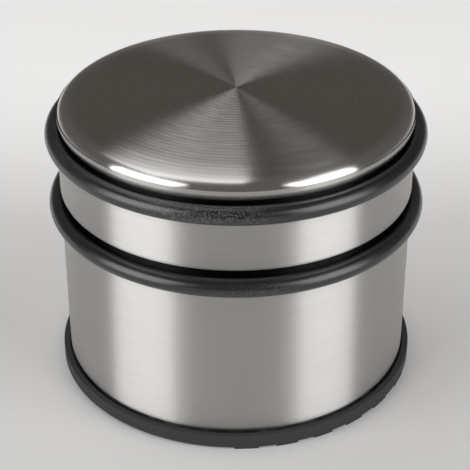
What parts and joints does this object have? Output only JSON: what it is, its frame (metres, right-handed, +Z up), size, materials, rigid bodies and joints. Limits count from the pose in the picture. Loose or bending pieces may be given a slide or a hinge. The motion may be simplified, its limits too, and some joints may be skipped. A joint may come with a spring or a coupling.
{
  "type": "floor door holder",
  "caption": "Weighted steel drum that stands on the floor and holds a door open, with rubber bumper rings round its wall and a ribbed rubber sole.",
  "frame": {"origin": "on the floor, on the axis of the drum, at the underside of the sole", "axes": "+Z up along the axis of the drum; -Y is the front, from which the tread of the sole runs 28 degrees towards +X; X runs to the right as seen from the front"},
  "size_m": [0.096, 0.096, 0.0765],
  "materials": {
    "lid_steel": "stainless sheet, turned on a lathe and brushed in circles round the centre of the lid",
    "wall_steel": "stainless sheet, brushed round the wall in fine level lines",
    "zinc_steel": "pressed mild steel, bright zinc plated",
    "fastener_steel": "standard steel fasteners, zinc plated",
    "ring_rubber": "round black rubber cord, satin, with light dust",
    "sole_rubber": "moulded dark grey rubber, matt and faintly grained",
    "cast_ballast": "cast cement with fine sand, as it leaves the mould",
    "foam_pad": "black closed-cell foam",
    "adhesive_sheet": "double-sided adhesive sheet, cream"
  },
  "bodies": {
    "root": {"lid": "lid_steel", "lid_anchor": "zinc_steel", "anchor_nut": "fastener_steel", "upper_ring": "ring_rubber", "shell": "wall_steel", "lower_ring": "ring_rubber", "ballast": "cast_ballast", "ballast_pad": "foam_pad", "base_plate": "zinc_steel", "flat_washer": "fastener_steel", "spring_washer": "fastener_steel", "tie_bolt": "fastener_steel", "sole_adhesive": "adhesive_sheet", "sole": "sole_rubber"}
  },
  "joints": []
}
